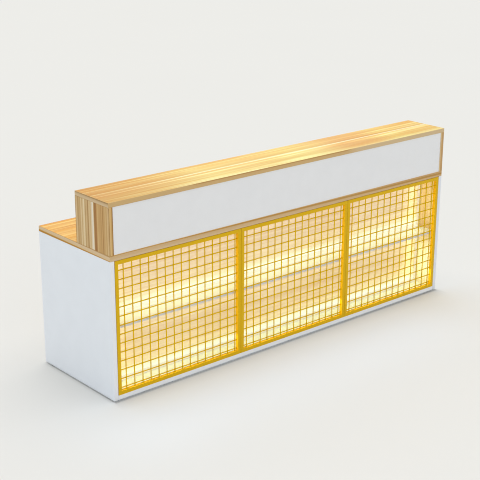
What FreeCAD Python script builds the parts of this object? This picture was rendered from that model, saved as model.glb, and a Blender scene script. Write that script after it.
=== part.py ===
import FreeCAD, Part
import Sketcher
import math
import os
import re

# Reception desk: a long counter with a raised timber shelf over a timber worktop, white
# ends, a lit display recess behind three welded mesh panels on the public side, and
# drawers, a kneehole and a cupboard on the staff side.
# X runs along the desk, Y from the public front (minus) to the staff edge (plus), Z up.
# The origin is on the floor under the middle of the desk. Sizes are in millimetres.

SIZES = (
    ("desk_length", 2480, "end to end"),
    ("desk_depth", 650, "public front to staff edge"),
    ("desk_height", 1050, "floor to the top of the raised shelf"),
    ("counter_height", 780, "floor to the top of the worktop"),
    ("worktop_thick", 30, "timber worktop"),
    ("end_thick", 25, "white end panels"),
    ("bottom_thick", 25, "bottom boards"),
    ("board_thick", 18, "inner boards"),
    ("edge_bevel", 1, "bevel of the edged boards"),
    ("glide_height", 4, "nylon glides"),
    ("glide_radius", 11, "nylon glides, at the board"),
    ("glide_taper", 2, "how much smaller a glide is at the floor"),
    ("glide_inset", 60, "glide centre to the nearest board edge"),
    ("hutch_depth", 290, "raised shelf, front to back"),
    ("hutch_thick", 25, "raised shelf, top and ends"),
    ("fascia_recess", 3, "white front of the raised shelf behind the front plane"),
    ("divider_setback", 12, "pigeonhole dividers behind the shelf's staff edge"),
    ("display_depth", 150, "front plane to the display's back panel"),
    ("shelf_thick", 18, "display shelf"),
    ("shelf_setback", 21, "display shelf behind the front plane"),
    ("tube_size", 20, "square tube of the mesh frames"),
    ("tube_wall", 1.5, "wall of that tube"),
    ("panel_gap", 2, "gap beside and above each mesh panel"),
    ("panel_shift", 9, "left mesh panel wider than a third of the opening, right one narrower"),
    ("wire_diameter", 6, "mesh wire"),
    ("wire_setback", 8, "upright wires' centre behind the front plane"),
    ("mesh_pitch", 51, "wanted spacing of the upright wires"),
    ("wide_pitch", 54, "wanted spacing of the right panel's upright wires"),
    ("level_pitch", 48.5, "wanted spacing of the level wires"),
    ("mesh_shift", 9, "left panel's upright wires to the right of even spacing"),
    ("mesh_drop", 12, "level wires below even spacing"),
    ("led_size", 16, "legs of the corner light channels"),
    ("led_wall", 1.2, "wall of those channels"),
    ("led_web", 9, "where the sloping face meets the legs"),
    ("tape_width", 8, "light tape"),
    ("tape_thick", 1.5, "light tape"),
    ("diffuser_thick", 1.2, "opal covers"),
    ("driver_length", 250, "power supply of the lights"),
    ("driver_tall", 34, "power supply, up and down"),
    ("driver_thick", 22, "power supply, off the panel"),
    ("driver_gap", 1, "power supply under the worktop"),
    ("gland_radius", 7, "inlet gland on the power supply"),
    ("gland_length", 12, "inlet gland on the power supply"),
    ("lead_hole", 2.5, "holes for the leads of the lights, radius"),
    ("lead_offset", 40, "those holes beside the power supply"),
    ("drawer_bay", 440, "clear width of the drawer bay"),
    ("cupboard_bay", 800, "clear width of the cupboard"),
    ("front_setback", 30, "drawer fronts and doors inside the worktop's staff edge"),
    ("front_gap", 3, "gaps between fronts"),
    ("small_front", 170, "height of the two upper drawer fronts"),
    ("drawer_clear", 24, "drawer box in front of the display's back panel"),
    ("drawer_wall", 15, "drawer sides and back"),
    ("drawer_floor", 6, "drawer bottoms"),
    ("drawer_floor_lift", 8, "drawer bottoms over the lower edge of the sides"),
    ("box_lift", 20, "drawer box over the front's lower edge"),
    ("box_drop", 25, "drawer box under the front's upper edge"),
    ("runner_end", 6, "runners short of the drawer box's back"),
    ("runner_tall", 45, "outer member, up and down"),
    ("runner_thick", 12.7, "bay wall to drawer side"),
    ("runner_wall", 1.2, "runner sheet"),
    ("runner_clear", 0.4, "between runner members"),
    ("runner_reach", 9.5, "outer member's flange"),
    ("runner_step", 1, "how far the middle member's flange reaches past the outer's"),
    ("runner_setback", 4, "runners behind the fronts"),
    ("runner_height", 40, "runner centre over the drawer box's lower edge"),
    ("handle_length", 160, "bar handles"),
    ("handle_bar", 10, "square bar of the handles"),
    ("handle_reach", 26, "front face to the outside of the bar"),
    ("door_handle_inset", 45, "handle centre from a door's free edge"),
    ("door_handle_drop", 187, "handle centre under a door's upper edge"),
    ("leaf_thick", 1, "hinge leaves"),
    ("leaf_clear", 0.5, "between the leaves of a shut door"),
    ("leaf_width", 20, "hinge leaves behind the face"),
    ("hinge_length", 60, "hinge, up and down"),
    ("hinge_inset", 90, "hinge from the door's end"),
    ("knuckle_radius", 3.5, "hinge knuckles"),
    ("knuckle_clear", 0.5, "knuckles to face and side, and to each other"),
    ("pin_radius", 1.8, "hinge pins"),
    ("pin_clear", 0.08, "pin in the door's knuckle"),
    ("cup_shelf_setback", 15, "cupboard shelf behind the doors"),
    ("cup_shelf_clear", 0.5, "cupboard shelf beside the walls and the back"),
    ("support_thick", 4, "shelf supports"),
    ("support_length", 9, "shelf supports, off the wall and along it"),
    ("support_inset", 50, "shelf supports from the shelf's edges"),
    ("grommet_radius", 27, "clear bore of the cable grommet"),
    ("grommet_wall", 3, "grommet sleeve"),
    ("grommet_clear", 0.3, "around the sleeve in the worktop"),
    ("grommet_rim", 6, "rim past the sleeve"),
    ("grommet_rim_thick", 2, "rim on the worktop"),
    ("grommet_place", 75, "grommet centre behind the raised shelf"),
)

# Places and sizes that follow from the sheet.
DERIVED = (
    ("left", "-desk_length / 2"),
    ("right", "desk_length / 2"),
    ("front", "-desk_depth / 2"),
    ("rear", "desk_depth / 2"),
    ("inner_left", "left + end_thick"),
    ("inner_right", "right - end_thick"),
    ("opening_width", "inner_right - inner_left"),
    ("floor_top", "glide_height + bottom_thick"),
    ("worktop_under", "counter_height - worktop_thick"),
    ("back_front", "front + display_depth"),
    ("back_rear", "back_front + board_thick"),
    ("shelf_low", "(floor_top + worktop_under - shelf_thick) / 2"),
    ("shelf_high", "shelf_low + shelf_thick"),
    ("hutch_under", "desk_height - hutch_thick"),
    ("hutch_rear", "front + hutch_depth"),
    ("hutch_left", "left + hutch_thick"),
    ("hutch_right", "right - hutch_thick"),
    ("fascia_front", "front + fascia_recess"),
    ("fascia_rear", "fascia_front + board_thick"),
    ("panels_width", "opening_width - 4 * panel_gap"),
    ("left_panel_low", "inner_left + panel_gap"),
    ("left_panel_high", "left_panel_low + panels_width / 3 + panel_shift"),
    ("middle_panel_low", "left_panel_high + panel_gap"),
    ("middle_panel_high", "middle_panel_low + panels_width / 3"),
    ("right_panel_low", "middle_panel_high + panel_gap"),
    ("right_panel_high", "inner_right - panel_gap"),
    ("left_mesh", "left_panel_high - left_panel_low - 2 * tube_size"),
    ("middle_mesh", "middle_panel_high - middle_panel_low - 2 * tube_size"),
    ("right_mesh", "right_panel_high - right_panel_low - 2 * tube_size"),
    ("panel_top", "worktop_under - panel_gap"),
    ("panel_height", "panel_top - floor_top"),
    ("mesh_height", "panel_height - 2 * tube_size"),
    ("wire_radius", "wire_diameter / 2"),
    ("upright_wire_y", "front + wire_setback"),
    ("level_wire_y", "upright_wire_y + wire_diameter"),
    ("led_face", "(led_web + led_wall) / 2"),
    ("tape_half", "tape_width / 2 * 0.5 ^ 0.5"),
    ("diffuser_radius", "led_size - led_wall"),
    ("driver_high", "worktop_under - driver_gap"),
    ("driver_low", "driver_high - driver_tall"),
    ("upper_lead_z", "worktop_under - led_size / 2"),
    ("lower_lead_z", "shelf_low - led_size / 2"),
    ("upper_lead_x", "driver_length / 2 + lead_offset"),
    ("lower_lead_x", "-driver_length / 2 - lead_offset"),
    ("face", "rear - front_setback"),
    ("front_inner", "face - board_thick"),
    ("fronts_low", "floor_top + front_gap"),
    ("fronts_high", "worktop_under - front_gap"),
    ("bay_right", "inner_left + drawer_bay"),
    ("knee_left", "bay_right + board_thick"),
    ("cup_left", "inner_right - cupboard_bay"),
    ("knee_right", "cup_left - board_thick"),
    ("cup_middle", "(cup_left + inner_right) / 2"),
    ("drawer_rear", "back_rear + drawer_clear"),
    ("runner_front", "front_inner - runner_setback"),
    ("runner_rear", "drawer_rear + runner_end"),
    ("runner_length", "runner_front - runner_rear"),
    ("outer_half", "runner_tall / 2"),
    ("middle_half", "outer_half - runner_wall - runner_clear"),
    ("inner_half", "middle_half - runner_wall - runner_clear"),
    ("middle_web", "runner_wall + runner_clear"),
    ("middle_reach", "runner_reach + runner_step"),
    ("inner_lip", "middle_web + runner_wall + runner_clear"),
    ("box_left", "inner_left + runner_thick"),
    ("box_right", "bay_right - runner_thick"),
    ("handle_out", "face + handle_reach"),
    ("handle_in", "handle_out - handle_bar"),
    ("hinge_gap", "2 * leaf_thick + leaf_clear"),
    ("hinge_side", "knuckle_radius + knuckle_clear"),
    ("hinge_y", "face + knuckle_radius + knuckle_clear"),
    ("knuckle_length", "hinge_length / 3"),
    ("cup_shelf_rear", "front_inner - cup_shelf_setback"),
    ("cup_shelf_low", "(floor_top + worktop_under - board_thick) / 2"),
    ("grommet_x", "(knee_left + knee_right) / 2"),
    ("grommet_y", "hutch_rear + grommet_place"),
    ("sleeve_radius", "grommet_radius + grommet_wall"),
)

ALONG_X = FreeCAD.Vector(1, 0, 0)
ALONG_Y = FreeCAD.Vector(0, 1, 0)
ALONG_Z = FreeCAD.Vector(0, 0, 1)
BOX_EDGES = 12
QUARTER_TURN = 90
FLOOR_GLIDES = 3
WIRE_SIDES = 12
PANELS = {"left": ("mesh_pitch", "mesh_shift"), "middle": ("mesh_pitch", "0"), "right": ("wide_pitch", "0")}
DRAWERS = ("upper", "middle", "lower")

doc = FreeCAD.newDocument("reception_desk")
sheet = doc.addObject("Spreadsheet::Sheet", "Sizes")
places = doc.addObject("App::VarSet", "Places")
nodes = []


def fill_sheet():
    """Write each driving size, its alias and its meaning on a row of the sheet."""
    for row, (name, value, meaning) in enumerate(SIZES, start=1):
        sheet.set(f"A{row}", meaning)
        sheet.set(f"B{row}", str(value))
        sheet.setAlias(f"B{row}", name)
    doc.recompute()


def formula(text):
    """Put the owner's name before each named value in an expression."""
    cells = {name for name, value, meaning in SIZES}

    def owned(word):
        owner = "Sizes" if word.group(0) in cells else "Places"
        return f"{owner}.{word.group(0)}"

    return re.sub(r"[a-z][a-z_]*", owned, text)


def derive(name, text):
    """Add a value that follows from the sheet."""
    places.addProperty("App::PropertyFloat", name)
    places.setExpression(name, formula(text))


def size(name):
    """A driving size as a number."""
    return float(sheet.get(name))


def bind(thing, values):
    """Tie properties to expressions."""
    for prop, text in values.items():
        thing.setExpression(prop, formula(text))


def put(thing, origin):
    """Tie a thing's position to three expressions."""
    for axis, text in zip("xyz", origin):
        thing.setExpression(f"Placement.Base.{axis}", formula(text))


def turned(axis_x, axis_y, axis_z):
    """A placement whose own axes point along the three given directions."""
    return FreeCAD.Placement(FreeCAD.Vector(), FreeCAD.Rotation(axis_x, axis_y, axis_z, "XYZ"))


def node(thing, label):
    """Name a finished piece, or group of alike pieces, and keep it for writing out."""
    thing.Label = label
    nodes.append(thing)
    return thing


def block(name, low, high):
    """A block between two corners, each given as three expressions."""
    solid = doc.addObject("Part::Box", name)
    for prop, start, end in zip(("Length", "Width", "Height"), low, high):
        bind(solid, {prop: f"({end}) - ({start})"})
    put(solid, low)
    return solid


def edged(name, low, high):
    """A board between two corners with all its edges slightly bevelled."""
    board = doc.addObject("Part::Chamfer", name)
    board.Base = block(f"{name}_blank", low, high)
    bevel = size("edge_bevel")
    board.Edges = [(edge, bevel, bevel) for edge in range(1, BOX_EDGES + 1)]
    return board


def rod(name, radius, length, direction, origin):
    """A round rod from its start, along a direction."""
    solid = doc.addObject("Part::Cylinder", name)
    bind(solid, {"Radius": radius, "Height": length})
    solid.Placement = FreeCAD.Placement(FreeCAD.Vector(), FreeCAD.Rotation(ALONG_Z, direction))
    put(solid, origin)
    return solid


def cut(name, base, tool):
    """One solid less another."""
    solid = doc.addObject("Part::Cut", name)
    solid.Base = base
    solid.Tool = tool
    return solid


def fused(name, members):
    """Several solids made one."""
    solid = doc.addObject("Part::MultiFuse", name)
    solid.Shapes = members
    solid.Refine = True
    return solid


def group(name, members):
    """Alike solids kept apart under one name."""
    bundle = doc.addObject("Part::Compound", name)
    bundle.Links = members
    return bundle


def outline(body, plane_role, name, corners):
    """A closed outline of straight lines in one of a body's own planes."""
    sketch = body.newObject("Sketcher::SketchObject", name)
    plane = next(item for item in body.Origin.OriginFeatures if item.Role == plane_role)
    sketch.AttachmentSupport = [(plane, "")]
    sketch.MapMode = "FlatFace"
    count = len(corners)
    turn = 2 * math.pi / count
    rough = [FreeCAD.Vector(math.cos(i * turn), math.sin(i * turn), 0) for i in range(count)]
    for i in range(count):
        sketch.addGeometry(Part.LineSegment(rough[i], rough[(i + 1) % count]), False)
    for i in range(count):
        sketch.addConstraint(Sketcher.Constraint("Coincident", i, 2, (i + 1) % count, 1))
    for i, (across, up) in enumerate(corners):
        for kind, start, text in (("DistanceX", rough[i].x, across), ("DistanceY", rough[i].y, up)):
            index = sketch.addConstraint(Sketcher.Constraint(kind, -1, 1, i, 1, start))
            sketch.setExpression(f"Constraints[{index}]", formula(text))
    return sketch


def bar(name, corners, length, axes, origin):
    """A bar of constant section: its corners, its length, its own three axes and its start."""
    body = doc.addObject("PartDesign::Body", name)
    pad = body.newObject("PartDesign::Pad", f"{name}_pad")
    pad.Profile = outline(body, "XY_Plane", f"{name}_section", corners)
    bind(pad, {"Length": length})
    body.Tip = pad
    body.Placement = turned(*axes)
    put(body, origin)
    return body


def ends_and_floor():
    """White ends, display floor and the glides that the desk stands on."""
    for side, low, high in (("left", "left", "inner_left"), ("right", "inner_right", "right")):
        panel = edged(f"{side}_end", (low, "front", "glide_height"), (high, "rear", "worktop_under"))
        node(panel, f"{side}_end_panel")
    floor = edged("display_base", ("inner_left", "front", "glide_height"),
                  ("inner_right", "back_rear", "floor_top"))
    node(floor, "display_floor")
    spots = [(x, y) for x in ("left + end_thick / 2", "right - end_thick / 2")
             for y in ("front + glide_inset", "rear - glide_inset")]
    spots += [(f"inner_left + opening_width * {step} / {FLOOR_GLIDES + 1}", "front + glide_inset")
              for step in range(1, FLOOR_GLIDES + 1)]
    spots += [(x, "face - glide_inset") for x in ("bay_right - glide_inset", "cup_left + glide_inset")]
    glides = []
    for x, y in spots:
        glide = doc.addObject("Part::Cone", "glide")
        bind(glide, {"Radius1": "glide_radius - glide_taper", "Radius2": "glide_radius",
                     "Height": "glide_height"})
        put(glide, (x, y, "0"))
        glides.append(glide)
    node(group("glide_set", glides), "glides")


def worktop():
    """Timber worktop over the whole desk, with the hole for the cable grommet."""
    slab = edged("worktop_slab", ("left", "front", "worktop_under"), ("right", "rear", "counter_height"))
    hole = rod("grommet_hole", "sleeve_radius + grommet_clear", "worktop_thick", ALONG_Z,
               ("grommet_x", "grommet_y", "worktop_under"))
    node(cut("worktop_board", slab, hole), "worktop")


def grommet():
    """Turned cable grommet: a sleeve through the worktop and a rim on top of it."""
    body = doc.addObject("PartDesign::Body", "grommet_body")
    ring = body.newObject("PartDesign::Revolution", "grommet_ring")
    corners = (("grommet_radius", "-worktop_thick"), ("sleeve_radius", "-worktop_thick"),
               ("sleeve_radius", "0"), ("sleeve_radius + grommet_rim", "0"),
               ("sleeve_radius + grommet_rim / 2", "grommet_rim_thick"),
               ("grommet_radius", "grommet_rim_thick"))
    ring.Profile = outline(body, "XZ_Plane", "grommet_section", corners)
    ring.ReferenceAxis = (ring.Profile[0], ["V_Axis"])
    body.Tip = ring
    put(body, ("grommet_x", "grommet_y", "counter_height"))
    node(body, "cable_grommet")


def hutch():
    """Raised shelf along the front: timber ends and top, white front, open to the staff."""
    for side, low, high in (("left", "left", "hutch_left"), ("right", "hutch_right", "right")):
        end = edged(f"{side}_hutch", (low, "front", "counter_height"), (high, "hutch_rear", "hutch_under"))
        node(end, f"hutch_{side}_end")
    top = edged("hutch_lid", ("left", "front", "hutch_under"), ("right", "hutch_rear", "desk_height"))
    node(top, "hutch_top")
    fascia = edged("hutch_front", ("hutch_left", "fascia_front", "counter_height"),
                   ("hutch_right", "fascia_rear", "hutch_under"))
    node(fascia, "hutch_fascia")
    for side, step in (("left", 1), ("right", 2)):
        middle = f"hutch_left + (hutch_right - hutch_left) * {step} / 3"
        divider = block(f"{side}_divider", (f"{middle} - board_thick / 2", "fascia_rear", "counter_height"),
                        (f"{middle} + board_thick / 2", "hutch_rear - divider_setback", "hutch_under"))
        node(divider, f"hutch_{side}_divider")


def display():
    """Back panel and shelf of the lit recess behind the mesh."""
    blank = block("display_back_blank", ("inner_left", "back_front", "floor_top"),
                  ("inner_right", "back_rear", "worktop_under"))
    holes = [rod("lead_hole_cut", "lead_hole", "board_thick", ALONG_Y, (x, "back_front", z))
             for x, z in (("upper_lead_x", "upper_lead_z"), ("lower_lead_x", "lower_lead_z"))]
    node(cut("display_back_board", blank, group("lead_holes", holes)), "display_back")
    shelf = edged("display_board", ("inner_left", "front + shelf_setback", "shelf_low"),
                  ("inner_right", "back_front", "shelf_high"))
    node(shelf, "display_shelf")


def tube(name, length, axes, origin):
    """A square tube with both ends mitred, its long side outermost."""
    walls = []
    for part, inset in (("skin", "0"), ("hollow", "tube_wall")):
        wedge = doc.addObject("Part::Wedge", f"{name}_{part}")
        bind(wedge, {
            "Xmin": inset, "Xmax": f"{length} - {inset}", "Ymin": inset, "Ymax": f"tube_size - {inset}",
            "Zmin": inset, "Zmax": f"tube_size - {inset}", "Z2min": inset, "Z2max": f"tube_size - {inset}",
            "X2min": f"tube_size - {inset}", "X2max": f"{length} - tube_size + {inset}"})
        wedge.Placement = turned(*axes)
        put(wedge, origin)
        walls.append(wedge)
    return cut(name, *walls)


def wire(name, length, axes, origin):
    """A mesh wire drawn with flat sides, so that crossing wires meet face to face."""
    solid = doc.addObject("Part::Prism", name)
    solid.Polygon = WIRE_SIDES
    half_side = math.pi / WIRE_SIDES
    bind(solid, {"Circumradius": f"wire_radius / {math.cos(half_side)}", "Height": length})
    twist = FreeCAD.Rotation(ALONG_Z, math.degrees(half_side))
    solid.Placement = FreeCAD.Placement(FreeCAD.Vector(), turned(*axes).Rotation * twist)
    put(solid, origin)
    return solid


def mesh_panel(name, pitch, shift):
    """A welded panel: four mitred tubes, and upright wires at a pitch in front of level ones."""
    low_x = f"{name}_panel_low"
    high_x = f"{name}_panel_high"
    mesh_wide = f"{name}_mesh"
    panel_wide = f"{mesh_wide} + 2 * tube_size"
    back_y = "front + tube_size"
    frame = (
        ("bottom_rail", panel_wide, (ALONG_X, ALONG_Z, -ALONG_Y), (low_x, back_y, "floor_top")),
        ("top_rail", panel_wide, (ALONG_X, -ALONG_Z, ALONG_Y), (low_x, "front", "panel_top")),
        ("left_stile", "panel_height", (ALONG_Z, ALONG_X, ALONG_Y), (low_x, "front", "floor_top")),
        ("right_stile", "panel_height", (ALONG_Z, -ALONG_X, -ALONG_Y), (high_x, back_y, "floor_top")),
    )
    tubes = [tube(f"{name}_{member}", length, axes, origin) for member, length, axes, origin in frame]
    node(group(f"{name}_tubes", tubes), f"mesh_frame_{name}")
    wires = []
    across = round(getattr(places, mesh_wide) / size(pitch))
    for step in range(across):
        x = f"{low_x} + tube_size + {mesh_wide} * {step + 0.5} / {across} + {shift}"
        wires.append(wire(f"{name}_upright", "mesh_height", (ALONG_X, ALONG_Y, ALONG_Z),
                          (x, "upright_wire_y", "floor_top + tube_size")))
    up = round(places.mesh_height / size("level_pitch"))
    for step in range(up):
        z = f"floor_top + tube_size + mesh_height * {step + 0.5} / {up} - mesh_drop"
        wires.append(wire(f"{name}_level", mesh_wide, (ALONG_Y, ALONG_Z, ALONG_X),
                          (f"{low_x} + tube_size", "level_wire_y", z)))
    node(group(f"{name}_wires", wires), f"mesh_wires_{name}")


def offset(origin, axes, steps):
    """A place given by steps along three axes from an origin."""
    result = []
    for index, start in enumerate(origin):
        parts = [start]
        for axis, step in zip(axes, steps):
            weight = round(axis[index])
            if weight:
                parts.append(f"{weight} * ({step})")
        result.append(" + ".join(parts))
    return result


def light_bar(name, length, axes, origin):
    """Corner channel, light tape on its sloping face, and quarter-round opal cover."""
    corners = (("0", "0"), ("led_size", "0"), ("led_size", "led_wall"), ("led_web", "led_wall"),
               ("led_wall", "led_web"), ("led_wall", "led_size"), ("0", "led_size"))
    channel = bar(f"{name}_channel", corners, length, axes, origin)
    along_face = (axes[1] - axes[0]).normalize()
    off_face = (axes[0] + axes[1]).normalize()
    tape = doc.addObject("Part::Box", f"{name}_tape")
    bind(tape, {"Length": "tape_width", "Width": "tape_thick", "Height": length})
    tape.Placement = turned(along_face, off_face, along_face.cross(off_face))
    put(tape, offset(origin, axes, ("led_face + tape_half", "led_face - tape_half", length)))
    shell = [doc.addObject("Part::Cylinder", f"{name}_{part}") for part in ("cover", "hollow")]
    for quarter, radius in zip(shell, ("diffuser_radius", "diffuser_radius - diffuser_thick")):
        bind(quarter, {"Radius": radius, "Height": length})
        quarter.Angle = QUARTER_TURN
        quarter.Placement = turned(*axes)
        put(quarter, offset(origin, axes, ("led_wall", "led_wall", "0")))
    return channel, tape, cut(f"{name}_diffuser", *shell)


def lights():
    """Light bars round the back of each compartment."""
    out = -ALONG_Y
    channels = []
    tapes = []
    diffusers = []
    for level, low, high in (("lower", "floor_top", "shelf_low"), ("upper", "shelf_high", "worktop_under")):
        tall = f"({high}) - ({low}) - 2 * led_size"
        bars = (
            ("floor", "opening_width", (out, ALONG_Z, -ALONG_X), ("inner_right", "back_front", low)),
            ("ceiling", "opening_width", (out, -ALONG_Z, ALONG_X), ("inner_left", "back_front", high)),
            ("left", tall, (out, ALONG_X, ALONG_Z), ("inner_left", "back_front", f"{low} + led_size")),
            ("right", tall, (out, -ALONG_X, -ALONG_Z), ("inner_right", "back_front", f"{high} - led_size")),
        )
        for place, length, axes, origin in bars:
            channel, tape, diffuser = light_bar(f"{level}_{place}", length, axes, origin)
            channels.append(channel)
            tapes.append(tape)
            diffusers.append(diffuser)
    node(group("channel_set", channels), "led_channels")
    node(group("tape_set", tapes), "led_tapes")
    node(group("diffuser_set", diffusers), "led_diffusers")


def power_supply():
    """Power supply of the lights behind the display, with its inlet gland."""
    case = block("driver_case", ("-driver_length / 2", "back_rear", "driver_low"),
                 ("driver_length / 2", "back_rear + driver_thick", "driver_high"))
    gland = rod("driver_gland", "gland_radius", "gland_length", -ALONG_Z,
                ("0", "back_rear + driver_thick / 2", "driver_low"))
    node(fused("driver_with_gland", [case, gland]), "led_driver")


def bar_handle(name, upright, x, z):
    """A square bar with a post at each end, centred on a place of a front's face."""
    half = "handle_length / 2"
    stretches = (("rail", f"-{half}", half, "handle_in", "handle_out"),
                 ("first_post", f"-{half}", f"handle_bar - {half}", "face", "handle_in"),
                 ("last_post", f"{half} - handle_bar", half, "face", "handle_in"))
    members = []
    for part, start, end, inner, outer in stretches:
        low = [f"{x} + {start}", inner, f"{z} - handle_bar / 2"]
        high = [f"{x} + {end}", outer, f"{z} + handle_bar / 2"]
        if upright:
            low = [f"{x} - handle_bar / 2", inner, f"{z} + {start}"]
            high = [f"{x} + handle_bar / 2", outer, f"{z} + {end}"]
        members.append(block(f"{name}_{part}", low, high))
    return fused(f"{name}_bar", members)


def carcass():
    """Partitions and floors of the drawer bay and the cupboard."""
    for side, low, high in (("left", "bay_right", "knee_left"), ("right", "knee_right", "cup_left")):
        wall = block(f"{side}_wall", (low, "back_rear", "glide_height"), (high, "face", "worktop_under"))
        node(wall, f"{side}_partition")
    for name, low, high in (("drawer_bay", "inner_left", "bay_right"),
                            ("cupboard", "cup_left", "inner_right")):
        floor = block(f"{name}_board", (low, "back_rear", "glide_height"), (high, "face", "floor_top"))
        node(floor, f"{name}_floor")


def runner_sections():
    """Outlines of the three nested runner members, from the bay wall to the drawer side."""
    outer = (("0", "-outer_half"), ("runner_reach", "-outer_half"),
             ("runner_reach", "runner_wall - outer_half"), ("runner_wall", "runner_wall - outer_half"),
             ("runner_wall", "outer_half - runner_wall"), ("runner_reach", "outer_half - runner_wall"),
             ("runner_reach", "outer_half"), ("0", "outer_half"))
    web = "middle_web + runner_wall"
    middle = (("middle_web", "-middle_half"), ("middle_reach", "-middle_half"),
              ("middle_reach", "runner_wall - middle_half"), (web, "runner_wall - middle_half"),
              (web, "middle_half - runner_wall"), ("middle_reach", "middle_half - runner_wall"),
              ("middle_reach", "middle_half"), ("middle_web", "middle_half"))
    web = "runner_thick - runner_wall"
    inner = (("runner_thick", "-inner_half"), ("runner_thick", "inner_half"), ("inner_lip", "inner_half"),
             ("inner_lip", "inner_half - runner_wall"), (web, "inner_half - runner_wall"),
             (web, "runner_wall - inner_half"), ("inner_lip", "runner_wall - inner_half"),
             ("inner_lip", "-inner_half"))
    return {"outer": outer, "middle": middle, "inner": inner}


def runner_pair(name, section, height):
    """The same runner member on both sides of a drawer."""
    on_left = bar(f"{name}_left", section, "runner_length", (ALONG_X, ALONG_Z, -ALONG_Y),
                  ("inner_left", "runner_front", height))
    on_right = bar(f"{name}_right", section, "runner_length", (-ALONG_X, ALONG_Z, ALONG_Y),
                   ("bay_right", "runner_rear", height))
    return [on_left, on_right]


def drawer_heights():
    """Lower and upper edge of each drawer front, from the top down."""
    upper = ("fronts_high - small_front", "fronts_high")
    middle = ("fronts_high - 2 * small_front - front_gap", "fronts_high - small_front - front_gap")
    lower = ("fronts_low", "fronts_high - 2 * small_front - 2 * front_gap")
    return dict(zip(DRAWERS, (upper, middle, lower)))


def drawers():
    """Three drawers: front, box of four boards, bar handle and telescopic runners."""
    sections = runner_sections()
    fixed = []
    for name, (low, high) in drawer_heights().items():
        panel = edged(f"{name}_panel", ("inner_left + front_gap", "front_inner", low),
                      ("bay_right - front_gap", "face", high))
        node(panel, f"{name}_drawer_front")
        box_low = f"{low} + box_lift"
        box_high = f"{high} - box_drop"
        walls = [block(f"{name}_side", (x, "drawer_rear", box_low),
                       (f"{x} + drawer_wall", "front_inner", box_high))
                 for x in ("box_left", "box_right - drawer_wall")]
        node(group(f"{name}_sides", walls), f"{name}_drawer_sides")
        back = block(f"{name}_back", ("box_left + drawer_wall", "drawer_rear", box_low),
                     ("box_right - drawer_wall", "drawer_rear + drawer_wall", box_high))
        node(back, f"{name}_drawer_back")
        floor_low = f"{box_low} + drawer_floor_lift"
        floor = block(f"{name}_floor", ("box_left + drawer_wall", "drawer_rear + drawer_wall", floor_low),
                      ("box_right - drawer_wall", "front_inner", f"{floor_low} + drawer_floor"))
        node(floor, f"{name}_drawer_floor")
        handle = bar_handle(f"{name}_handle", False, "(inner_left + bay_right) / 2",
                            f"{high} - small_front / 2")
        node(handle, f"{name}_drawer_handle")
        height = f"{box_low} + runner_height"
        fixed += runner_pair(f"{name}_outer_runner", sections["outer"], height)
        for member in ("middle", "inner"):
            pair = runner_pair(f"{name}_{member}_runner", sections[member], height)
            node(group(f"{name}_{member}_pair", pair), f"{name}_drawer_{member}_runners")
    node(group("outer_runner_set", fixed), "outer_runners")


def hinge(name, wall, sign, low):
    """One butt hinge: the carcass leaf with its pin, and the door leaf, on a wall at x."""
    pin_x = f"{wall} {sign} hinge_side"
    high = f"{low} + hinge_length"
    thirds = [f"{low} + knuckle_length * {step}" for step in range(4)]
    half_clear = "knuckle_clear / 2"
    leaves = {}
    for owner, near, far, steps in (("frame", "0", "leaf_thick", (0, 2)),
                                    ("door", "leaf_thick + leaf_clear", "hinge_gap", (1,))):
        edges = [f"{wall} {sign} ({near})", f"{wall} {sign} ({far})"]
        if sign == "-":
            edges.reverse()
        members = [block(f"{name}_{owner}_plate", (edges[0], "face - leaf_width", low),
                         (edges[1], "face", high))]
        for step in steps:
            start = f"{thirds[step]} + {half_clear}"
            end = f"{thirds[step + 1]} - {half_clear}"
            members.append(block(f"{name}_{owner}_tab", (edges[0], "face", start),
                                 (edges[1], "hinge_y", end)))
            members.append(rod(f"{name}_{owner}_knuckle", "knuckle_radius", f"({end}) - ({start})", ALONG_Z,
                               (pin_x, "hinge_y", start)))
        leaves[owner] = members
    pin_foot = (pin_x, "hinge_y", f"{thirds[1]} - knuckle_clear")
    pin_length = "knuckle_length + 2 * knuckle_clear"
    leaves["frame"].append(rod(f"{name}_pin", "pin_radius", pin_length, ALONG_Z, pin_foot))
    bore = rod(f"{name}_bore", "pin_radius + pin_clear", pin_length, ALONG_Z, pin_foot)
    frame_leaf = fused(f"{name}_frame_leaf", leaves["frame"])
    door_leaf = cut(f"{name}_door_leaf", fused(f"{name}_door_blank", leaves["door"]), bore)
    return frame_leaf, door_leaf


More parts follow.
